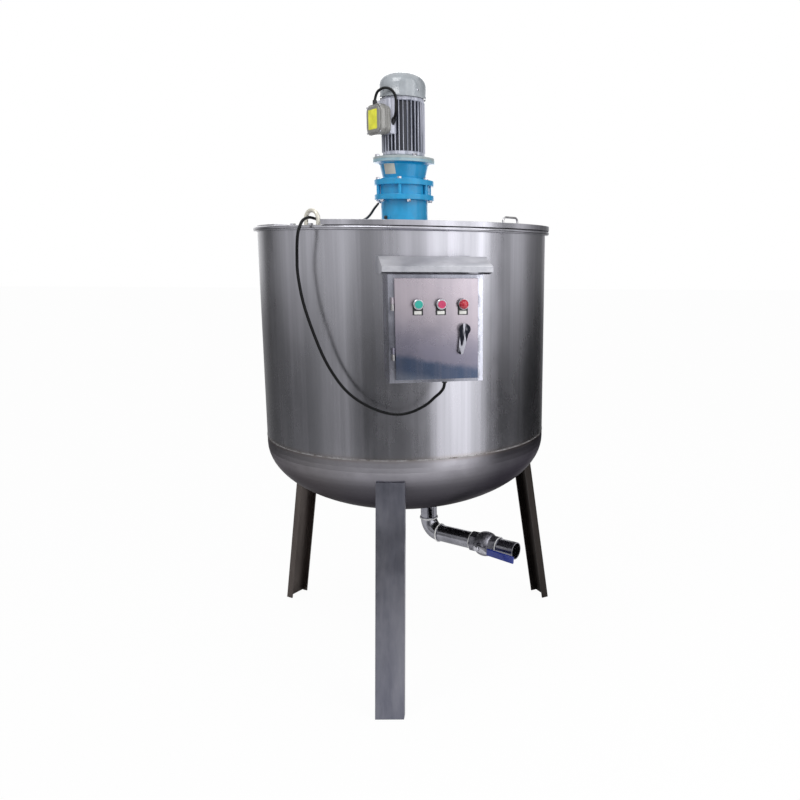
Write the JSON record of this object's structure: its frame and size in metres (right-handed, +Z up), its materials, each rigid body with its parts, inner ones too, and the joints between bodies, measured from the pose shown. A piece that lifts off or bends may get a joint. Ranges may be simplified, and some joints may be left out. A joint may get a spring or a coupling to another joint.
{
  "type": "mixing tank",
  "caption": "Open-top steel mixing tank on three splayed channel legs, with a vertical drive on a bridge, a half lid, a control box and a bottom drain valve.",
  "frame": {"origin": "on the floor under the axis of the tank", "axes": "+Z up along the tank axis, -Y towards the control box side, +X to the right of it"},
  "size_m": [1.1049, 1.2177, 2.046],
  "materials": {
    "tank_steel": "satin, brushed round the shell",
    "bottom_steel": "matte, pickled",
    "leg_steel": "dull rolled channel",
    "plate_steel": "satin sheet",
    "bar_steel": "polished bar",
    "box_steel": "fine brushed sheet",
    "pipe_steel": "satin tube",
    "valve_metal": "blasted casting",
    "bright_metal": "polished",
    "gearbox_blue": "gloss paint",
    "motor_grey": "satin paint",
    "motor_silver": "machined",
    "fan_grey": "satin paint",
    "gland_black": "matt",
    "cable_black": "matt",
    "label_black": "matt",
    "lamp_red": "gloss",
    "cap_green": "gloss",
    "cap_red": "gloss",
    "handle_blue": "gloss dipped sleeve"
  },
  "bodies": {
    "tank": {"shell": "tank_steel", "dished_bottom": "bottom_steel", "leg_front": "leg_steel", "leg_left": "leg_steel", "leg_right": "leg_steel", "bridge_plate": "plate_steel", "bridge_webs": "plate_steel", "fixed_cover": "plate_steel", "cable_guide": "bar_steel", "lid_hinge_leaves": "bar_steel", "gearbox_foot": "gearbox_blue", "gearbox_housing": "gearbox_blue", "pin_ring": "gearbox_blue", "input_housing": "gearbox_blue", "motor_flange": "motor_silver", "motor_body": "motor_grey", "fan_cover": "fan_grey", "terminal_box": "motor_grey", "terminal_gland": "gland_black", "control_box": "box_steel", "box_brackets": "box_steel", "box_hood": "box_steel", "box_hinge_leaves": "bar_steel", "box_gland": "gland_black", "drain_stub": "pipe_steel", "drain_elbow": "pipe_steel", "drain_pipe": "pipe_steel", "valve_body": "valve_metal", "drain_nipple": "pipe_steel", "motor_cable": "cable_black", "terminal_loop": "cable_black"},
    "lid": {"lid_panel": "tank_steel", "lid_hinge_knuckles": "bar_steel", "lid_handle": "bar_steel"},
    "agitator": {"agitator_shaft": "bar_steel", "agitator_paddles": "plate_steel"},
    "box_door": {"box_door": "box_steel", "legend_plates": "label_black", "button_collars": "bright_metal", "pilot_lamp": "lamp_red"},
    "door_lever": {"door_lever": "bright_metal"},
    "green_button": {"button_green": "cap_green"},
    "red_button": {"button_red": "cap_red"},
    "valve_handle": {"valve_lever": "handle_blue"}
  },
  "joints": [
    {"name": "agitator_spin", "type": "hinge", "parent": "tank", "child": "agitator", "pos_m": [0, 0, 1.1], "axis": [0, 0, 1], "continuous": true},
    {"name": "lid_hinge", "type": "hinge", "parent": "tank", "child": "lid", "pos_m": [0.081, -0.07293, 1.5334], "axis": [-0.6691, -0.7431, 0], "range_deg": [0, 85]},
    {"name": "door_hinge", "type": "hinge", "parent": "tank", "child": "box_door", "pos_m": [-0.03771, -0.6636, 1.234], "axis": [0, 0, -1], "range_deg": [0, 110]},
    {"name": "door_latch", "type": "hinge", "parent": "box_door", "child": "door_lever", "pos_m": [0.16275, -0.64629, 1.233], "axis": [-0.1305, 0.9914, 0], "range_deg": [0, 90]},
    {"name": "green_press", "type": "slide", "parent": "box_door", "child": "green_button", "axis": [-0.1305, 0.9914, 0], "range_m": [0, 0.004], "stiffness_N_per_m": 900},
    {"name": "red_press", "type": "slide", "parent": "box_door", "child": "red_button", "axis": [-0.1305, 0.9914, 0], "range_m": [0, 0.004], "stiffness_N_per_m": 900},
    {"name": "valve_turn", "type": "hinge", "parent": "tank", "child": "valve_handle", "pos_m": [0.26876, -0.2422, 0.426], "axis": [-0.6361, -0.7716, 0], "range_deg": [0, 90]}
  ]
}
